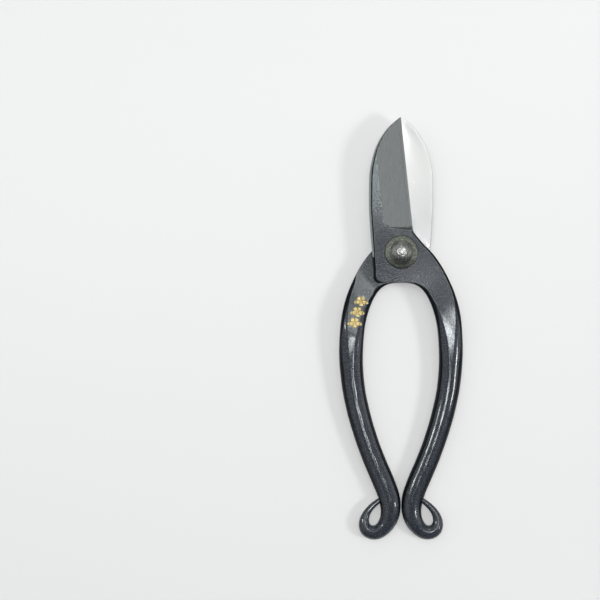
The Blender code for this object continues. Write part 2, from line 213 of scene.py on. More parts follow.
def natural_spline(knots, values, at):
    """The natural cubic spline through each row of values, read at the knot positions in at."""
    knots = np.asarray(knots, float)
    values = np.asarray(values, float)
    gap = np.diff(knots)
    slope = np.diff(values, axis=0) / gap[:, None]
    count = len(knots)
    system = np.eye(count)
    right = np.zeros_like(values)
    for i in range(1, count - 1):
        system[i, i - 1 : i + 2] = gap[i - 1], 2 * (gap[i - 1] + gap[i]), gap[i]
        right[i] = 6 * (slope[i] - slope[i - 1])
    bend = np.linalg.solve(system, right)
    at = np.asarray(at, float)
    i = np.clip(np.searchsorted(knots, at, side="right") - 1, 0, count - 2)
    span = gap[i][:, None]
    late = (at - knots[i])[:, None] / span
    early = 1 - late
    curve = (early**3 - early) * bend[i] + (late**3 - late) * bend[i + 1]
    return early * values[i] + late * values[i + 1] + curve * span**2 / 6


def edge_x(y):
    return mix(EDGE_ROOT_X, EDGE_TOP_X, (y - ROOT_Y) / (POINT_Y - ROOT_Y))


PLATE_THICKNESS = FACE_HEIGHT - FACE_GAP
FULL_BEVEL = (PLATE_THICKNESS - GROUND_THICKNESS) / BEVEL_SLOPE


def plunge_corner():
    """The middle of the rounded corner where the bevel's long border turns into its lower one."""
    return edge_x(PLUNGE_TOP_Y) - FULL_BEVEL + PLUNGE_RADIUS, PLUNGE_TOP_Y - PLUNGE_RADIUS


def plunge_x(y):
    corner_x, turn_y = plunge_corner()
    if y >= turn_y:
        return corner_x - math.sqrt(max(0.0, PLUNGE_RADIUS**2 - (PLUNGE_TOP_Y - y) ** 2))
    return mix(corner_x, EDGE_ROOT_X - PLATE_ROUND, (turn_y - y) / (turn_y - PLUNGE_END_Y))


def into_bevel(point, past):
    """How far points are inside the bevel's border, given how far they are past its long line."""
    corner_x, turn_y = plunge_corner()
    border_x, border_y = (corner_x, EDGE_ROOT_X - PLATE_ROUND), (turn_y, PLUNGE_END_Y)
    lower = point[:, 1] - np.interp(point[:, 0], border_x, border_y)
    corner = PLUNGE_RADIUS - np.hypot(point[:, 0] - corner_x, point[:, 1] - PLUNGE_TOP_Y)
    rounded = (point[:, 0] < corner_x) & (point[:, 1] < PLUNGE_TOP_Y)
    return np.where(rounded, corner, np.minimum(past, lower))


def soft_least(a, b, blend):
    """The lesser of a and b, rounded off where they are within blend of each other."""
    share = np.clip(0.5 + 0.5 * (b - a) / blend, 0.0, 1.0)
    return mix(b, a, share) - blend * share * (1 - share)


def blade_station(y):
    knots, back = zip(*SPINE)
    back_x = natural_spline(knots, np.array(back)[:, None], [y])[0, 0]
    width = edge_x(y) - back_x
    left_round = min(SPINE_ROUND, SPINE_ROUND_SHARE * width)
    thickness = min(PLATE_THICKNESS, GROUND_THICKNESS + BEVEL_SLOPE * (width - left_round))
    bevel = full_bevel = (thickness - GROUND_THICKNESS) / BEVEL_SLOPE
    if y < PLUNGE_TOP_Y:
        bevel = edge_x(y) - max(plunge_x(y), edge_x(y) - bevel)
    end = smoothstep(y, ROOT_Y, PLUNGE_END_Y + 0.4)
    right_round = mix(PLATE_ROUND, CUTTING_ROUND, end)
    return Station(
        np.array((back_x, y)),
        np.array((edge_x(y), y)),
        FACE_GAP + thickness,
        BAR_HALF_HEIGHT,
        left_round,
        right_round,
        max(bevel, right_round * 1.02),
        full_bevel,
        end,
    )


def blade_heights():
    """Section heights from the point to the root, close together at both ends."""
    nose = POINT_Y - 2.0 * np.linspace(0, 1, 9) ** 1.6
    long_part = np.arange(POINT_Y - 2.0 - STATION_STEP, PLUNGE_TOP_Y + 0.2, -STATION_STEP)
    plunge = np.arange(PLUNGE_TOP_Y, ROOT_Y + 0.01, -PLUNGE_STEP)
    return np.concatenate([nose, long_part, plunge])


def section_table():
    """Every control section below the root as left x, left y, right x, right y, left rounding, height."""
    rows = [(*row, BAR_HALF_HEIGHT) for row in PLATE_SECTIONS]
    last = PLATE_SECTIONS[-1]
    centres = [np.array(((last[0] + last[2]) / 2, last[1]))]
    centres += [np.array(row[:2]) for row in BAR_SECTIONS]
    centres.append(2 * centres[-1] - centres[-2])
    for i, (x, y, width) in enumerate(BAR_SECTIONS, start=1):
        after, before = centres[i + 1] - centres[i], centres[i] - centres[i - 1]
        along = after / np.linalg.norm(after) + before / np.linalg.norm(before)
        along /= np.linalg.norm(along)
        inward = np.array((along[1], -along[0])) * width / 2
        height = BAR_HALF_HEIGHT
        if len(rows) >= CURL_START_ROW:
            height = min(height, CURL_HEIGHT_SHARE * width)
        rows.append((x + inward[0], y + inward[1], x - inward[0], y - inward[1], 1.5, height))
    return np.array(rows)


def handle_stations():
    table = section_table()
    rails = [table[:, 0:2], table[:, 2:4]]
    knots = []
    for rail in rails:
        steps = np.linalg.norm(np.diff(rail, axis=0), axis=1)
        knots.append(np.concatenate([[0.0], np.cumsum(steps)]))
    places = []
    for row in range(len(table) - 1):
        longest = max(knots[0][row + 1] - knots[0][row], knots[1][row + 1] - knots[1][row])
        step = STATION_STEP if row < CURL_START_ROW - 1 else STATION_STEP / 2
        count = max(2, round(longest / step))
        places += [row + i / count for i in range(count)]
    places.append(len(table) - 1.0)
    order = np.arange(len(table), dtype=float)
    left = natural_spline(knots[0], rails[0], np.interp(places, order, knots[0]))
    right = natural_spline(knots[1], rails[1], np.interp(places, order, knots[1]))
    rounds = np.interp(places, order, table[:, 4])
    heights = np.interp(places, order, table[:, 5])
    stations = []
    for l, r, left_round, height in zip(left, right, rounds, heights):
        bevel = PLATE_ROUND * 1.02
        stations.append(Station(l, r, FACE_HEIGHT, height, left_round, PLATE_ROUND, bevel, 0.0, 0.0))
    return stations + rounded_end(stations[-1], stations[-2])


def rounded_end(last, previous):
    """Shrinking copies of the last station, which close the curl with a round nose."""
    along = last.left + last.right - previous.left - previous.right
    along /= np.linalg.norm(along)
    reach = np.linalg.norm(last.right - last.left) / 2
    middle = (last.left + last.right) / 2
    ends = []
    for angle in range(15, 90, 12):
        share = math.cos(math.radians(angle))
        move = along * reach * math.sin(math.radians(angle))
        left = middle + (last.left - middle) * share + move
        right = middle + (last.right - middle) * share + move
        ends.append(last._replace(left=left, right=right, bar_half=last.bar_half * share))
    return ends


def reach_of(x, y):
    """Distance from the pivot on the handle's side, and zero on the blade's side."""
    return np.where(y < 0, np.hypot(x, y), 0.0)


def face_level(x, y, station):
    reach = reach_of(x, y)
    rise = mix(station.top, station.bar_half, smoothstep(reach, RAMP_START, RAMP_END))
    return rise - FACE_FALL * smoothstep(reach, *FALL_SPAN) * (station.bar_half / BAR_HALF_HEIGHT) ** 3


def inner_level(x, y, bar_half):
    reach = reach_of(x, y)
    thinning = INNER_FALL * smoothstep(reach, *INNER_FALL_SPAN) * (bar_half / BAR_HALF_HEIGHT) ** 3
    return mix(FACE_GAP, -bar_half, smoothstep(reach, RAMP_START, RAMP_END)) + thinning


def edge_profile(chamfer, kink):
    """Points from a flat round to the wall beside it, as shares of the width and of the drop."""
    turn = (np.arange(ARC_STEPS) + 0.5) / ARC_STEPS
    angles = mix(kink, 90, turn)
    angles = mix(angles, np.interp(turn, *CHAMFER_TURNS), chamfer)
    across = np.concatenate([[0.0], np.cumsum(np.cos(np.radians(angles)))])
    down = np.concatenate([[0.0], np.cumsum(np.sin(np.radians(angles)))])
    return across / across[-1], down / down[-1]


def side_samples(width, rounds, flats, steps, chamfer, kink):
    """Distances across a section and each edge's drop there, from left to right."""
    (left_w, left_h), (right_w, right_h) = rounds
    across, down = edge_profile(chamfer, kink)
    distance = [left_w * (1 - across[::-1])]
    drop = [left_h * down[::-1]]
    start = left_w
    support = min(EDGE_SUPPORT, 0.1 * (width - left_w - right_w))
    if flats:
        support = min(support, 0.3 * (flats[0] - left_w), 0.3 * (width - right_w - flats[-1]))
    ends = (left_w + support, *flats, width - right_w - support, width - right_w)
    for end, count in zip(ends, (1, *steps, 1)):
        distance.append(np.linspace(start, end, count + 1)[1:])
        drop.append(np.zeros(count))
        start = end
    across, down = edge_profile(0.0, kink)
    distance.append(width - right_w * (1 - across[1:]))
    drop.append(right_h * down[1:])
    return np.concatenate(distance), np.concatenate(drop)


def roundings(station, left_plate, right_plate, middle, full_rounds):
    share = smoothstep(reach_of(*middle), ROUNDING_START, ROUNDING_END)
    half_width = np.linalg.norm(station.right - station.left) / 2
    full_height = 0.97 * station.bar_half
    return [
        (mix(r, full * half_width, share), mix(r, full_height, share))
        for r, full in zip((left_plate, right_plate), full_rounds)
    ]


def rim_distance(distance, width, rounds, middle):
    """Distance from the borders of the flat face, and far from them on the bar and towards the point; the
    rubbed metal and painted highlight run along these borders.
    """
    to_border = np.minimum(np.abs(distance - rounds[0][0]), np.abs(width - rounds[1][0] - distance))
    fade = smoothstep(reach_of(*middle), 26.0, 44.0) + smoothstep(middle[1], 30.0, 42.0)
    return np.minimum(to_border + FAR * fade, FAR)


def edge_shade_depth(distance, width, rounds, station):
    """How far points are past the borders of the flat face, and far before them once the bar is round; the
    painted edge shade lies past the borders.
    """
    middle = (station.left + station.right) / 2
    on_foot = 1 - smoothstep(abs(station.left[1] - FOOT_Y), 1.0, 4.0)
    left_border = rounds[0][0] + FOOT_EDGE_SHADE * on_foot
    past_border = np.maximum(left_border - distance, distance - (width - rounds[1][0]))
    return past_border - FAR * smoothstep(reach_of(*middle), 25.0, 46.0)


def section_ring(station):
    """Points round one section, over the front face and back under the inner one, with the masks there."""
    across = station.right - station.left
    width = np.linalg.norm(across)
    across = across / width
    middle = (station.left + station.right) / 2
    chamfer = smoothstep(station.left[1], *CHAMFER_FADE)
    kink = EDGE_KINK * (1 - smoothstep(reach_of(*middle), ROUNDING_START, ROUNDING_END))
    top_rounds = roundings(station, station.left_round, station.right_round, middle, FULL_ROUNDS[0])
    flat_start, flat_end = top_rounds[0][0], width - top_rounds[1][0]
    bevel_at = min(max(width - station.bevel, flat_start * 1.01), width - top_rounds[1][0] * 1.01)
    support = min(LINE_SUPPORT, 0.4 * (bevel_at - flat_start), 0.4 * (flat_end - bevel_at))
    flats = (bevel_at - support, bevel_at, bevel_at + support)
    steps = (FLAT_STEPS[0], 1, 1, FLAT_STEPS[1])
    distance, drop = side_samples(width, top_rounds, flats, steps, chamfer, kink)
    point = station.left + across * distance[:, None]
    past = distance - (width - station.full_bevel)
    inside = into_bevel(point, past)
    ground = np.zeros(len(distance))
    if station.on_blade > 0:
        blend = WALL_BLEND * smoothstep(inside, 0.0, WALL_BLEND_SPAN) + 0.001
        ground = station.on_blade * soft_least(BEVEL_SLOPE * past, WALL_SLOPE * inside, blend)
        ground = np.clip(ground, 0.0, station.top - FACE_GAP - GROUND_THICKNESS)
    honed = np.clip(1 - (width - distance) / HONED_WIDTH, 0, 1) * (GROUND_THICKNESS - HONED_THICKNESS)
    level = face_level(point[:, 0], point[:, 1], station) - ground - drop - honed * station.on_blade
    none = np.full(len(distance), -FAR)
    # the light line of rubbed metal and painted highlight also follows the bevel's border
    plunge_rim = FAR
    if station.on_blade > 0:
        plunge_rim = np.abs(inside) + FAR * smoothstep(point[:, 1], 12.0, 17.0)
    masks = {
        "ground": inside if station.on_blade > 0 else none,
        "bare": np.minimum(BARE_SHARE * flat_start - distance, (point[:, 1] - BARE_END_Y) / 4),
        "polish": none,
        "worn": 3.2 * smoothstep(point[:, 1], *WORN_SPAN) - 2.0,
        # rim: the light line of rubbed metal and painted highlight along the flat face's borders
        "rim": np.minimum(rim_distance(distance, width, top_rounds, middle), plunge_rim),
        # outline: where the painted shade lies on the edges round the flat faces
        "outline": edge_shade_depth(distance, width, top_rounds, station),
    }
    top = np.column_stack([point, level])

    softer = smoothstep(reach_of(*middle), 14.0, 21.0)
    inner_left = mix(min(INNER_ROUND, station.left_round), 1.5, softer)
    inner_right = mix(min(INNER_ROUND, station.right_round / 2), 1.5, softer)
    low_rounds = roundings(station, inner_left, inner_right, middle, FULL_ROUNDS[1])
    distance, drop = side_samples(width, low_rounds, (), (INNER_FLAT_STEPS,), 0.0, kink)
    distance, drop = distance[::-1], drop[::-1]
    point = station.left + across * distance[:, None]
    across_hollow = (distance - HOLLOW_RIM) / max(0.1, width - 2 * HOLLOW_RIM)
    hollow = HOLLOW_DEPTH * station.on_blade * np.maximum(0.0, 4 * across_hollow * (1 - across_hollow))
    hollow *= smoothstep(width, *HOLLOW_WIDTHS) * smoothstep(station.left[1], ROOT_Y, HOLLOW_END_Y)
    level = inner_level(point[:, 0], point[:, 1], station.bar_half) + drop + hollow
    low = np.column_stack([point, level])
    none = np.full(len(distance), -FAR)
    from_pivot = np.hypot(point[:, 0], point[:, 1])
    low_masks = {
        "ground": none,
        "bare": none,
        "polish": np.maximum(POLISH_RADIUS - from_pivot, point[:, 1] - 1.0),
        # painted reflection: round 22 mm from the pivot the inner face gets part of the worn skin, which
        # lightens it
        "worn": np.full(len(distance), -2.0) + 1.2 * (1 - smoothstep(np.abs(from_pivot - 22.0), 2.0, 12.0)),
        "rim": rim_distance(distance, width, low_rounds, middle),
        # the same painted edge shade on the inner side, away from the blade
        "outline": edge_shade_depth(distance, width, low_rounds, station) if station.on_blade == 0 else none,
    }
    return np.vstack([top, low]), {name: np.concatenate([masks[name], low_masks[name]]) for name in masks}


def forging_waver(points):
    """The slight unevenness of a hammered and filed bar, as a shift outwards for each point."""
    x, y, z = points.T
    waves = np.sin(0.37 * y + 0.9 * x + 1.3) + np.sin(0.23 * y - 0.5 * x + 0.8 * z)
    return 0.018 * waves * smoothstep(reach_of(x, y), 24.0, 40.0)


def half_mesh():
    """The fine mesh of one forged half, with its masks as attributes."""
    stations = [blade_station(y) for y in blade_heights()] + handle_stations()[1:]
    rings, masks = zip(*(section_ring(station) for station in stations))
    count = len(rings[0])
    points = np.vstack(rings)
    centres = np.repeat([ring.mean(axis=0) for ring in rings], count, axis=0)
    outward = points - centres
    outward /= np.linalg.norm(outward, axis=1)[:, None] + 1e-9
    points = points + outward * forging_waver(points)[:, None]
    rows = len(rings)
    index = np.arange(rows * count).reshape(rows, count)
    after = np.roll(index, -1, axis=1)
    quads = np.stack([index[:-1], after[:-1], after[1:], index[1:]], axis=-1).reshape(-1, 4)
    faces = quads[:, ::-1].tolist() + [index[0].tolist(), index[-1][::-1].tolist()]
    mesh = bpy.data.meshes.new("forged_half")
    mesh.from_pydata((points * MM).tolist(), [], faces)
    for name in masks[0]:
        values = np.clip(np.concatenate([mask[name] for mask in masks]) + FAR, 0.0, 2 * FAR)
        attribute = mesh.attributes.new(name, "FLOAT", "POINT")
        attribute.data.foreach_set("value", values.astype(np.float32))
    mesh.validate()
    mesh.update()
    return outward_faces(mesh)


def outward_faces(mesh):
    shape = bmesh.new()
    shape.from_mesh(mesh)
    bmesh.ops.recalc_face_normals(shape, faces=shape.faces)
    shape.to_mesh(mesh)
    shape.free()
    mesh.shade_smooth()
    mesh.set_sharp_from_angle(angle=math.radians(SHARP_STEEL))
    return mesh


def solid_mesh(name, shape, sharp_angle=None):
    """Ends a bmesh: its faces turned outwards and, with an angle, smooth but for the edges past it."""
    bmesh.ops.recalc_face_normals(shape, faces=shape.faces)
    mesh = bpy.data.meshes.new(name)
    shape.to_mesh(mesh)
    shape.free()
    if sharp_angle is not None:
        mesh.shade_smooth()
        mesh.set_sharp_from_angle(angle=math.radians(sharp_angle))
    return mesh


def new_object(name, data, *materials):
    obj = bpy.data.objects.new(name, data)
    bpy.context.scene.collection.objects.link(obj)
    for material in materials:
        obj.data.materials.append(material)
    return obj


def turned_mesh(name, profile, steps=TURNED_STEPS, shift=None):
    """A solid of revolution about Z from a closed or axis-to-axis profile of radius and height."""
    shape = bmesh.new()
    columns = []
    for step in range(steps):
        angle = 2 * math.pi * step / steps
        column = []
        for i, (radius, height) in enumerate(profile):
            if radius < 1e-6 and columns:
                column.append(columns[0][i])
                continue
            x, y = radius * math.cos(angle), radius * math.sin(angle)
            lift = shift(x, y, height) if shift else 0.0
            column.append(shape.verts.new(Vector((x, y, height + lift)) * MM))
        columns.append(column)
    for one, two in zip(columns, columns[1:] + columns[:1]):
        for i in range(len(profile) - 1):
            corners = list(dict.fromkeys((one[i], one[i + 1], two[i + 1], two[i])))
            if len(corners) > 2:
                shape.faces.new(corners)
    bmesh.ops.remove_doubles(shape, verts=shape.verts, dist=1e-8)
    return solid_mesh(name, shape, SHARP_TURNED)


def stand_for(obj, node, body):
    """Ties a visible piece to its body and hides the CAD node it stands for."""
    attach(obj, body)
    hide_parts(node)


def smooth_profile(points, step):
    """A rounded profile: the natural spline through the given points, read every step millimetres."""
    points = np.array(points, float)
    knots = np.concatenate([[0.0], np.cumsum(np.linalg.norm(np.diff(points, axis=0), axis=1))])
    at = np.linspace(0, knots[-1], max(2, round(knots[-1] / step)))
    return natural_spline(knots, points, at).tolist()


# ---------------------------------------------------------------- materials


class Graph:
    """A short way to write a material's nodes."""

    def __init__(self, name):
        self.material = bpy.data.materials.new(name)
        self.material.use_nodes = True
        self.tree = self.material.node_tree
        self.shader = self.tree.nodes["Principled BSDF"]

    def node(self, kind, *inputs, out=0, **settings):
        node = self.tree.nodes.new(kind)
        for key, value in settings.items():
            setattr(node, key, value)
        for socket, value in enumerate(inputs):
            self.put(node.inputs[socket], value)
        return node.outputs[out]

    def put(self, socket, value):
        if value is None:
            return
        if isinstance(value, bpy.types.NodeSocket):
            self.tree.links.new(value, socket)
        else:
            socket.default_value = value

    def math(self, operation, *inputs):
        return self.node("ShaderNodeMath", *inputs, operation=operation)

    def times(self, a, b):
        return self.math("MULTIPLY", a, b)

    def times_plus(self, value, factor, added):
        return self.math("MULTIPLY_ADD", value, factor, added)

    def step(self, value, low, high, to_low=0.0, to_high=1.0):
        return self.node(
            "ShaderNodeMapRange", value, low, high, to_low, to_high, interpolation_type="SMOOTHSTEP"
        )

    def blend(self, share, a, b, kind="FLOAT"):
        node = self.tree.nodes.new("ShaderNodeMix")
        node.data_type = kind
        first = {"FLOAT": 2, "RGBA": 6}[kind]
        self.put(node.inputs[0], share)
        self.put(node.inputs[first], (*a, 1.0) if isinstance(a, tuple) else a)
        self.put(node.inputs[first + 1], (*b, 1.0) if isinstance(b, tuple) else b)
        return node.outputs[{"FLOAT": 0, "RGBA": 2}[kind]]

    def noise(self, per_mm, detail=2.0, rough=0.5, stretch=(1, 1, 1)):
        """Noise with about this many features to the millimetre, divided by stretch along each axis."""
        if not hasattr(self, "place"):
            self.place = self.node("ShaderNodeTexCoord", out=3)
        scale = Vector([per_mm / MM / s for s in stretch])
        at = self.node("ShaderNodeVectorMath", self.place, scale, operation="MULTIPLY")
        return self.node("ShaderNodeTexNoise", at, None, 1.0, detail, rough, noise_dimensions="3D")

    def mask(self, name, waver, share, low, high, to_low=0.0, to_high=1.0):
        """A mask from half_mesh, stepped between two distances in millimetres; waver makes it uneven."""
        stored = self.node("ShaderNodeAttribute", attribute_name=name, out=2)
        distance = self.math("SUBTRACT", stored, FAR)
        return self.step(self.times_plus(waver, share, distance), low, high, to_low, to_high)

    def from_axis(self):
        """Distance from the Z axis in metres."""
        flat = self.node("ShaderNodeVectorMath", self.place, (1, 1, 0), operation="MULTIPLY")
        return self.node("ShaderNodeVectorMath", flat, operation="LENGTH", out=1)

    def along(self, axis):
        return self.node("ShaderNodeSeparateXYZ", self.place, out=axis)

    def bump(self, height, distance_mm, strength=1.0, normal=None):
        node = self.tree.nodes.new("ShaderNodeBump")
        node.inputs["Strength"].default_value = strength
        node.inputs["Distance"].default_value = distance_mm * MM
        self.put(node.inputs["Height"], height)
        if normal:
            self.put(node.inputs["Normal"], normal)
        return node.outputs[0]

    def finish(self, **inputs):
        for name, value in inputs.items():
            value = (*value, 1.0) if isinstance(value, tuple) else value
            self.put(self.shader.inputs[name.replace("_", " ")], value)
        return self.material


# Colours, as linear red, green and blue; a pair is the dark and the light of an uneven surface
SKIN = (0.012, 0.017, 0.026), (0.018, 0.023, 0.032)
SKIN_FLECK = (0.047, 0.052, 0.06)
WORN_SKIN = (0.125, 0.142, 0.146), (0.175, 0.193, 0.193)
# rubbed metal and painted highlight: the light line along the borders of the flat faces
RIM_WEAR_AND_HIGHLIGHT = (0.2, 0.21, 0.21)
# painted shade: the near black given to the edges round the flat faces and along the plate's foot
EDGE_SHADE_BLACK = (0.006, 0.008, 0.010)
GROUND_STEEL = (0.245, 0.257, 0.257), (0.30, 0.312, 0.312)
BARE_STEEL = (0.32, 0.35, 0.35)
MIRROR_STEEL = (0.49, 0.495, 0.49), (0.60, 0.605, 0.595)  # by the root and along the blade
# painted reflection: the brim is olive green all round, and the dome's grey steel has a faint painted olive
# tint
WASHER_DOME, WASHER_BRIM_GREEN_REFLECTION = (0.205, 0.21, 0.195), (0.135, 0.15, 0.12)
WASHER_PATINA, WASHER_BRIGHT, WASHER_PIT = (0.12, 0.12, 0.11), (0.36, 0.365, 0.33), (0.06, 0.065, 0.055)
RIVET_STEEL = (0.42, 0.415, 0.4), (0.62, 0.61, 0.59)
GOLD = (0.5, 0.36, 0.14), (0.86, 0.70, 0.34)
GOLD_CREASE = (0.12, 0.075, 0.04)
FLOOR_WHITE = (0.46, 0.46, 0.455), (0.48, 0.48, 0.48)

# Roughness; a pair is that of the dark and the light grain
LACQUER_ROUGH = 0.09, 0.13
GROUND_ROUGH = 0.24, 0.32
WORN_ROUGH, BARE_ROUGH, MIRROR_ROUGH = 0.24, 0.34, 0.12
WASHER_ROUGH = 0.34, 0.5
RIVET_ROUGH = 0.2, 0.34
GOLD_ROUGH = 0.34, 0.5
FLOOR_ROUGH = 0.75

SKIN_SHINE = 0.28, 0.92  # specular level between the glints and on them
# painted shade: the share by which the edges' specular level is cut
EDGE_SHADE_DULLING = 0.88
SKIN_RELIEF, BAR_RELIEF = 0.35, 0.4  # share of the skin's bump, and how much the bar adds


def forged_material():
    """Black forged skin, ground bevel, bare chamfer and polished inner face, told apart by the masks, with
    painted shade on the edges round the flat faces and a light line of rubbed metal and painted highlight
    along their borders.
    """
    g = Graph("forged_steel")
    mottle = g.noise(0.9, 4.0, 0.65)
    speckle = g.noise(3.6, 1.0, 0.5)
    fine = g.noise(8.0, 1.0, 0.5)
    glint = g.noise(2.4, 2.0, 0.7)
    patch = g.noise(0.12, 2.0, 0.5)
    streak = g.noise(6.0, 3.0, 0.6, stretch=(1, 40, 1))
    scratch = g.noise(7.0, 2.0, 0.6, stretch=(30, 1, 1))
    uneven = g.math("SUBTRACT", mottle, 0.5)
    scuff = g.times_plus(g.math("SUBTRACT", speckle, 0.5), 2.4, uneven)
    place_y = g.along(1)

    ground = g.mask("ground", uneven, 1.6, -0.15, 0.25)
    bare = g.mask("bare", uneven, 0.4, -0.1, 0.1)
    polish = g.mask("polish", uneven, 0.8, -0.1, 0.3)
    worn = g.mask("worn", scuff, 1.4, -1.6, 1.6)
    # rubbed metal with a painted highlight along the flat faces' borders
    rim = g.mask("rim", uneven, 0.5, 0.03, 0.2, 1.0, 0.0)
    # painted shade on the edges round the flat faces
    outline = g.mask("outline", uneven, 0.2, -0.08, 0.12)
    metal = g.math("MAXIMUM", g.math("MAXIMUM", ground, bare), polish)
    on_bar = g.times(g.step(g.from_axis(), 24 * MM, 40 * MM), g.step(place_y, -8 * MM, 0.0, 1.0, 0.0))

    skin = g.blend(g.step(patch, 0.35, 0.7), *SKIN, "RGBA")
    fleck = g.times(on_bar, g.step(g.noise(1.9, 1.0, 0.5), 0.44, 0.68))
    skin = g.blend(fleck, skin, SKIN_FLECK, "RGBA")
    skin = g.blend(worn, skin, g.blend(speckle, *WORN_SKIN, "RGBA"), "RGBA")
    skin = g.blend(g.times(rim, 0.6), skin, RIM_WEAR_AND_HIGHLIGHT, "RGBA")
    # the painted shade darkens the edges
    skin = g.blend(outline, skin, EDGE_SHADE_BLACK, "RGBA")
    colour = g.blend(ground, skin, g.blend(streak, *GROUND_STEEL, "RGBA"), "RGBA")
    colour = g.blend(bare, colour, BARE_STEEL, "RGBA")
    inner = g.blend(g.step(place_y, 5 * MM, 35 * MM), *MIRROR_STEEL, "RGBA")
    colour = g.blend(polish, colour, inner, "RGBA")
    # the rim's rubbed metal and painted highlight, and the worn skin, turn partly metallic
    rubbed = g.math("MAXIMUM", g.times(rim, 0.55), g.times(worn, 0.9))
    metallic = g.math("MAXIMUM", metal, g.times(rubbed, g.math("SUBTRACT", 1.0, outline)))

    rough = g.blend(worn, g.step(speckle, 0.25, 0.75, *LACQUER_ROUGH), WORN_ROUGH)
    rough = g.blend(ground, rough, g.step(streak, 0.2, 0.8, *GROUND_ROUGH))
    rough = g.blend(bare, rough, BARE_ROUGH)
    rough = g.blend(polish, rough, MIRROR_ROUGH)

    relief = g.math("SUBTRACT", g.times_plus(on_bar, BAR_RELIEF, SKIN_RELIEF), metal)
    normal = g.bump(g.times(g.times_plus(fine, 0.35, speckle), relief), 0.018, 0.6)
    normal = g.bump(g.times(streak, ground), 0.006, 0.6, normal)
    normal = g.bump(g.times(scratch, polish), 0.003, 0.5, normal)
    shine = g.step(g.times_plus(glint, 0.7, g.times(speckle, 0.3)), 0.34, 0.66, *SKIN_SHINE)
    return g.finish(
        Base_Color=colour,
        Metallic=metallic,
        Roughness=rough,
        Normal=normal,
        # the painted edge shade also dulls the specular level there
        Specular_IOR_Level=g.times(shine, g.times_plus(outline, -EDGE_SHADE_DULLING, 1.0)),
    )


def washer_material():
    g = Graph("washer_steel")
    patina = g.noise(0.35, 3.0, 0.55)
    grain = g.noise(1.8, 3.0, 0.7)
    brim = g.step(g.from_axis(), 4.7 * MM, 5.4 * MM)
    # painted reflection colours the brim olive green
    colour = g.blend(brim, WASHER_DOME, WASHER_BRIM_GREEN_REFLECTION, "RGBA")
    colour = g.blend(g.step(patina, 0.4, 0.7, 0.0, 0.5), colour, WASHER_PATINA, "RGBA")
    colour = g.blend(g.step(grain, 0.5, 0.66, 0.0, 0.85), colour, WASHER_BRIGHT, "RGBA")
    colour = g.blend(g.step(grain, 0.34, 0.48, 0.65, 0.0), colour, WASHER_PIT, "RGBA")
    rough = g.step(grain, 0.25, 0.75, *WASHER_ROUGH)
    return g.finish(Base_Color=colour, Metallic=1.0, Roughness=rough, Normal=g.bump(grain, 0.05, 0.8))


def rivet_material():
    g = Graph("peened_steel")
    dent = g.noise(0.9, 2.0, 0.5)
    grain = g.noise(3.5, 3.0, 0.6)
    colour = g.blend(grain, *RIVET_STEEL, "RGBA")
    rough = g.step(grain, 0.2, 0.8, *RIVET_ROUGH)
    normal = g.bump(grain, 0.02, 0.5, g.bump(dent, 0.14, 0.8))
    return g.finish(Base_Color=colour, Metallic=1.0, Roughness=rough, Normal=normal)


def gold_material():
    g = Graph("gold_fill")
    fleck = g.noise(2.0, 3.0, 0.7)
    grain = g.noise(7.0, 2.0, 0.5)
    colour = g.blend(g.step(fleck, 0.38, 0.55), *GOLD, "RGBA")
    colour = g.blend(g.step(g.along(2), -0.13 * MM, -0.06 * MM), GOLD_CREASE, colour, "RGBA")
    rough = g.step(grain, 0.2, 0.8, *GOLD_ROUGH)
    return g.finish(Base_Color=colour, Metallic=0.85, Roughness=rough, Normal=g.bump(fleck, 0.06, 0.7))


# ---------------------------------------------------------------- pieces


def at_bearing(radius, bearing):
    """X and Y at a bearing in degrees, clockwise from +Y."""
    turn = math.radians(bearing)
    return radius * math.sin(turn), radius * math.cos(turn)


def leaf_radius(bearing, middle):
    away = abs((bearing - middle + 180) % 360 - 180)
    return LEAF_REACH * math.sqrt(max(0.0, 1 - away / LEAF_SPREAD))


def petal_share(bearing):
    """1 in the middle of a petal and 0 between two."""
    return abs(math.cos(math.radians(2.5 * bearing)))


def flower_radius(bearing):
    return BLOSSOM_RADIUS * mix(0.72, 1.0, petal_share(bearing) ** 0.6)


def blossom_radius(bearing):
    leaves = (leaf_radius(bearing, 90 - LEAF_LIFT), leaf_radius(bearing, 270 + LEAF_LIFT))
    return max(flower_radius(bearing), *leaves)


def blossom_height(bearing, radius, edge):
    """The relief of the gold fill: domed petals with creases between them, and a boss in the middle."""
    flower = flower_radius(bearing)
    if radius < BOSS_RADIUS:
        return 0.1
    if radius < BOSS_RING:
        return -0.12
    if radius <= flower * 0.97:
        crease = smoothstep(petal_share(bearing), 0.0, 0.4)
        vein = 1 - smoothstep(petal_share(bearing), 0.985, 0.999)
        border = 0.12 * smoothstep(radius, flower * 0.85, flower)
        return float(mix(-0.14, 0.08, crease) * mix(0.6, 1.0, vein) - border)
    if radius <= flower * 1.05:
        return -0.15
    return float(0.03 - 0.12 * smoothstep(radius, edge * 0.9, edge))


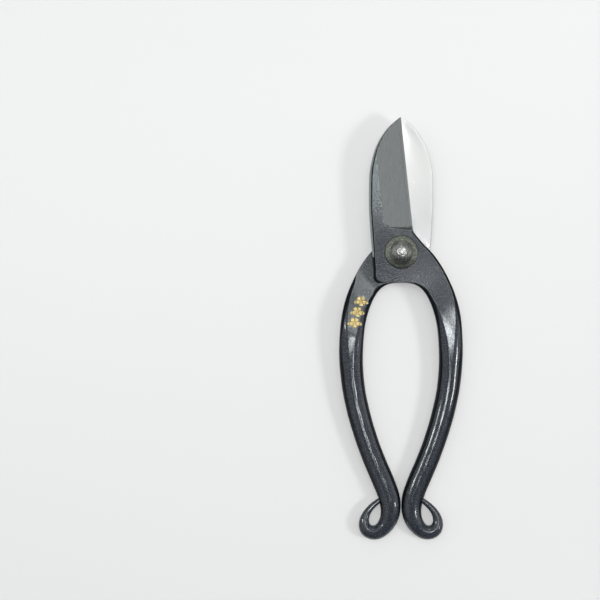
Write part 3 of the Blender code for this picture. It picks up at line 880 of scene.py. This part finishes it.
def blossom_mesh(name):
    """A closed, finely meshed inlay: the relief above, its wall and a flat underside."""
    shape = bmesh.new()
    top, bottom = [], []
    for j in range(BLOSSOM_STEPS):
        bearing = 360 * j / BLOSSOM_STEPS
        edge = blossom_radius(bearing)
        column = []
        for i in range(1, BLOSSOM_RINGS + 1):
            radius = edge * i / BLOSSOM_RINGS
            height = blossom_height(bearing, radius, edge)
            column.append(shape.verts.new(Vector((*at_bearing(radius, bearing), height)) * MM))
        top.append(column)
        bottom.append(shape.verts.new(Vector((*at_bearing(edge, bearing), -POCKET_DEPTH)) * MM))
    centre = shape.verts.new((0, 0, 0.1 * MM))
    for j in range(BLOSSOM_STEPS):
        after = (j + 1) % BLOSSOM_STEPS
        one, two = top[j], top[after]
        shape.faces.new((centre, one[0], two[0]))
        for i in range(BLOSSOM_RINGS - 1):
            shape.faces.new((one[i], one[i + 1], two[i + 1], two[i]))
        shape.faces.new((one[-1], bottom[j], bottom[after], two[-1]))
    shape.faces.new(bottom)
    return solid_mesh(name, shape, SHARP_GOLD)


def prism_mesh(name, outline, low, high):
    """A straight-walled cutter over an outline."""
    shape = bmesh.new()
    rims = [[shape.verts.new(Vector((x, y, z)) * MM) for x, y in outline] for z in (low, high)]
    shape.faces.new(rims[0])
    shape.faces.new(rims[1])
    for i in range(len(outline)):
        j = (i + 1) % len(outline)
        shape.faces.new((rims[0][i], rims[0][j], rims[1][j], rims[1][i]))
    return solid_mesh(name, shape)


def facet_frame(x, y):
    """Where a stamp sits on the inner side of the handle, in the half's own frame: +Z leaves the metal."""
    step = 0.5
    height = float(inner_level(x, y, BAR_HALF_HEIGHT))
    rise_x = (float(inner_level(x + step, y, BAR_HALF_HEIGHT)) - height) / step
    rise_y = (float(inner_level(x, y + step, BAR_HALF_HEIGHT)) - height) / step
    out = Vector((rise_x, rise_y, -1)).normalized()
    side = (Vector((1, 0, 0)) - out * out.x).normalized()
    turn = Matrix((side, out.cross(side), out)).transposed().to_4x4()
    return Matrix.Translation(Vector((x, y, height)) * MM) @ turn


def cut(obj, cutters):
    """Cuts closed meshes out of obj and applies the result."""
    for cutter in cutters:
        modifier = obj.modifiers.new("cut", "BOOLEAN")
        modifier.operation = "DIFFERENCE"
        modifier.object = cutter
    bpy.context.view_layer.update()
    graph = bpy.context.evaluated_depsgraph_get()
    mesh = bpy.data.meshes.new_from_object(obj.evaluated_get(graph))
    obj.modifiers.clear()
    obj.data = mesh
    for cutter in cutters:
        bpy.data.objects.remove(cutter)
    mesh.set_sharp_from_angle(angle=math.radians(SHARP_STEEL))


def bore_cutter(half):
    radius = RIVET_HIGH.x * BORE_SHARE
    turns = [2 * math.pi * i / BORE_STEPS for i in range(BORE_STEPS)]
    circle = [(radius * math.cos(turn), radius * math.sin(turn)) for turn in turns]
    bore = new_object("bore", prism_mesh("bore", circle, -9, 9))
    bore.matrix_world = half.matrix_world
    return bore


def pocket_cutters(turned):
    """The stamped recesses that hold the gold."""
    outline = [at_bearing(blossom_radius(bearing) + POCKET_MARGIN, bearing) for bearing in range(0, 360, 3)]
    pockets = []
    for place in BLOSSOMS.values():
        pocket = new_object("pocket", prism_mesh("pocket", outline, -POCKET_DEPTH - 0.05, 1.5))
        pocket.matrix_world = turned @ facet_frame(*place)
        pockets.append(pocket)
    return pockets


def build_halves():
    """Makes both halves and returns the turn that places the rear one."""
    mesh = half_mesh()
    mesh.materials.append(forged_material())
    lift = Matrix.Translation((0, 0, PARTING_Z))
    turned = lift @ Matrix.Rotation(math.pi, 4, "Y")
    front = new_object("front_half_forging", mesh)
    front.matrix_world = lift
    rear = new_object("rear_half_forging", mesh.copy())
    rear.matrix_world = turned
    cut(front, [bore_cutter(front)])
    cut(rear, [bore_cutter(rear), *pocket_cutters(turned)])
    stand_for(front, "front_half", "front")
    stand_for(rear, "rear_half", "rear")
    return turned


def build_blossoms(turned):
    gold = gold_material()
    for name, place in BLOSSOMS.items():
        inlay = new_object(name + "_gold", blossom_mesh(name + "_gold"), gold)
        inlay.matrix_world = turned @ facet_frame(*place) @ Matrix.Translation((0, 0, -BLOSSOM_SINK * MM))
        stand_for(inlay, name, "rear")


def washer_profile(height, radius, hole):
    """A bell: a flat brim, a small step and a cone that rises to the rivet's hole. Heights from the plate."""
    bell = ((hole, 0.0), (2.6, -0.12), (3.4, -0.42), (4.2, -0.88), (4.75, -1.3))
    bell = [(reach, height + fall) for reach, fall in bell]
    step = ((4.95, 1.12), (5.2, 1.0), (6.0, 0.76))
    brim = ((radius - 0.4, 0.55), (radius - 0.1, 0.36), (radius, 0.15))
    under = [(radius - 0.05, 0.0), (4.4, 0.0), (3.9, 0.6), (2.9, 1.1), (hole, 1.3), (hole, height)]
    return smooth_profile(bell, 0.15) + smooth_profile(step + brim, 0.12) + under


def rivet_profile(seat, shank):
    """The whole pin from its front nub down to its flat rear end. Heights from the parting plane."""
    top = RIVET_HIGH.z - PARTING_Z / MM
    radius = RIVET_HIGH.x
    nub = ((0.0, top), (0.9, top - 0.04), (1.5, top - 0.16))
    nub += ((radius - 0.08, top - 0.42), (radius, seat + 0.12))
    tail = ((radius, -seat - 0.12), (radius - 0.1, -top + 0.3), (1.75, -top + 0.1))
    pin = [(radius - 0.05, seat), (shank, seat), (shank, -seat), (radius - 0.05, -seat)]
    flat_end = [(1.5, -top), (1.0, -top), (0.0, -top)]
    return smooth_profile(nub, 0.09) + pin + smooth_profile(tail, 0.1) + flat_end


def build_pivot():
    base = FACE_HEIGHT + WASHER_CLEARANCE
    seat_gap = WASHER_LOW.z - (PARTING_Z / MM + base)
    height = WASHER_HIGH.z - WASHER_LOW.z + seat_gap
    hole = RIVET_HIGH.x * SHANK_SHARE
    mesh = turned_mesh("washer", washer_profile(height, WASHER_HIGH.x, hole))
    mesh.materials.append(washer_material())
    front_seat = Matrix.Translation((0, 0, PARTING_Z + base * MM))
    rear_seat = Matrix.Translation((0, 0, PARTING_Z - base * MM)) @ Matrix.Rotation(math.pi, 4, "Y")
    for node, place in (("front_washer", front_seat), ("rear_washer", rear_seat)):
        washer = new_object(node + "_bell", mesh)
        washer.matrix_world = place
        stand_for(washer, node, "front")

    profile = rivet_profile(base + height, hole - 0.04)
    rivet = new_object("pivot_rivet_pin", turned_mesh("rivet", profile, shift=peening), rivet_material())
    rivet.matrix_world = Matrix.Translation((0, 0, PARTING_Z))
    stand_for(rivet, "pivot_rivet", "front")


def peening(x, y, height):
    """Hammer dents in the front end of the rivet."""
    if height < FACE_HEIGHT + 2:
        return 0.0
    inside = 1 - smoothstep(math.hypot(x, y), 1.2, 2.0)
    return -0.05 * inside * (1 + math.sin(3.1 * x + 1.0) * math.sin(3.7 * y + 0.4))


# ---------------------------------------------------------------- stage

FLOOR_HALF_SIZE = 3.0
FLOOR_TILT = 3.4 / 108  # the snips rest on the rear rivet head and on the curls
FLOOR_PAINTED_LIGHT = 0.27, 0.36  # painted light: the floor glows to soften its shading, towards the viewer and away from them
CAMERA_HEIGHT = 0.8
VIEW_WIDTH = 0.2556  # of the view at the parting plane
VIEW_CENTRE = (-0.0430, -0.0203)


def build_floor():
    mesh = bpy.data.meshes.new("floor")
    size = FLOOR_HALF_SIZE
    corners = [(-size, -size), (size, -size), (size, size), (-size, size)]
    mesh.from_pydata([(x, y, -FLOOR_TILT * y) for x, y in corners], [], [(0, 1, 2, 3)])
    g = Graph("floor_white")
    g.place = g.node("ShaderNodeTexCoord", out=3)
    cloud = g.noise(0.004, 2.0, 0.5)
    colour = g.blend(cloud, *FLOOR_WHITE, "RGBA")
    # painted light: the floor's glow grows across it, away from the viewer
    slant = g.node("ShaderNodeVectorMath", g.place, (-0.25, 1.0, 0.0), operation="DOT_PRODUCT", out=1)
    painted_glow = g.step(slant, -0.18, 0.10, *FLOOR_PAINTED_LIGHT)
    white = g.finish(
        Base_Color=colour, Roughness=FLOOR_ROUGH, Emission_Color=(1.0, 1.0, 1.0), Emission_Strength=painted_glow
    )
    new_object("floor", mesh, white)


# Patches of the room the metal reflects: direction, full within and gone beyond (degrees), added radiance
ROOM_BASE = (0.12, 0.124, 0.13)
ROOM = (
    ((0.05, 0.12, 1.0), 4, 15, (1.11, 1.11, 1.115)),
    ((0.24, 0.28, 1.0), 7, 14, (2.8, 2.9, 2.8)),
    ((1.0, 0.10, 1.1), 14, 34, (0.40, 0.41, 0.41)),
    ((-1.0, 0.05, 1.0), 18, 42, (0.48, 0.50, 0.50)),
    ((-0.55, 0.6, 1.0), 8, 28, (0.6, 0.61, 0.6)),
    ((1.0, 0.1, 0.35), 8, 24, (0.7, 0.7, 0.7)),
    ((0.2, 1.0, 0.45), 12, 34, (0.6, 0.61, 0.6)),
)


def build_world():
    world = bpy.data.worlds.new("studio")
    bpy.context.scene.world = world
    world.use_nodes = True
    tree = world.node_tree

    def node(kind, operation, *inputs):
        made = tree.nodes.new(kind)
        if operation:
            made.operation = operation
        for socket, value in zip(made.inputs, inputs):
            if isinstance(value, bpy.types.NodeSocket):
                tree.links.new(value, socket)
            else:
                socket.default_value = value
        return made

    coordinate = tree.nodes.new("ShaderNodeTexCoord")
    place = node("ShaderNodeVectorMath", "NORMALIZE", coordinate.outputs["Generated"]).outputs[0]
    total = node("ShaderNodeCombineXYZ", None, *ROOM_BASE).outputs[0]
    for direction, inner, outer, radiance in ROOM:
        dot = node("ShaderNodeVectorMath", "DOT_PRODUCT", place, Vector(direction).normalized())
        edges = math.cos(math.radians(outer)), math.cos(math.radians(inner))
        ramp = node("ShaderNodeMapRange", None, dot.outputs["Value"], *edges)
        ramp.interpolation_type = "SMOOTHSTEP"
        patch = node("ShaderNodeVectorMath", "SCALE", radiance)
        tree.links.new(ramp.outputs[0], patch.inputs["Scale"])
        total = node("ShaderNodeVectorMath", "ADD", total, patch.outputs[0]).outputs[0]
    tree.links.new(total, tree.nodes["Background"].inputs["Color"])


# Lamps aimed at the pivot: name, direction, distance, size, radiance, colour, and the surfaces that see them
WHITE = (1, 1, 1)
LAMPS = (
    ("fill_above", (-0.10, 0.10, 1.0), 1.5, (0.5, 0.5), 10.0, WHITE, "matt"),
    ("key_right", (0.73, -0.17, 0.68), 1.4, (0.25, 0.25), 40.0, WHITE, "matt"),
    ("lamp_near", (0.084, -0.075, 1.0), 1.4, (0.13, 0.098), 25.0, (0.93, 0.98, 1.0), "shiny"),
    ("lamp_left", (-0.62, 0.11, 0.78), 1.4, (0.06, 0.27), 30.0, (0.95, 1.0, 0.98), "shiny"),
    ("lamp_right", (0.73, -0.19, 0.68), 1.4, (0.08, 0.2), 34.0, (1.0, 0.98, 1.0), "shiny"),
    ("lamp_top", (0.05, 0.75, 0.66), 1.4, (0.3, 0.06), 20.0, (0.97, 1.0, 1.0), "shiny"),
)


def build_lights():
    for name, direction, distance, size, radiance, colour, seen_by in LAMPS:
        data = bpy.data.lights.new(name, "AREA")
        data.shape = "RECTANGLE"
        data.size, data.size_y = size
        data.energy = radiance * math.pi * size[0] * size[1]
        data.color = colour
        light = new_object(name, data)
        direction = Vector(direction).normalized()
        light.location = direction * distance
        light.rotation_euler = direction.to_track_quat("Z", "Y").to_euler()
        light.visible_glossy = seen_by == "shiny"
        light.visible_diffuse = seen_by == "matt"


def build_camera():
    data = bpy.data.cameras.new("camera")
    data.sensor_width = 36.0
    data.lens = data.sensor_width * (CAMERA_HEIGHT - PARTING_Z) / VIEW_WIDTH
    data.clip_start = 0.01
    camera = new_object("camera", data)
    camera.location = (*VIEW_CENTRE, CAMERA_HEIGHT)
    bpy.context.scene.camera = camera


turned_frame = build_halves()
build_blossoms(turned_frame)
build_pivot()
build_floor()
build_world()
build_lights()
build_camera()
bpy.context.scene.view_settings.view_transform = "Standard"
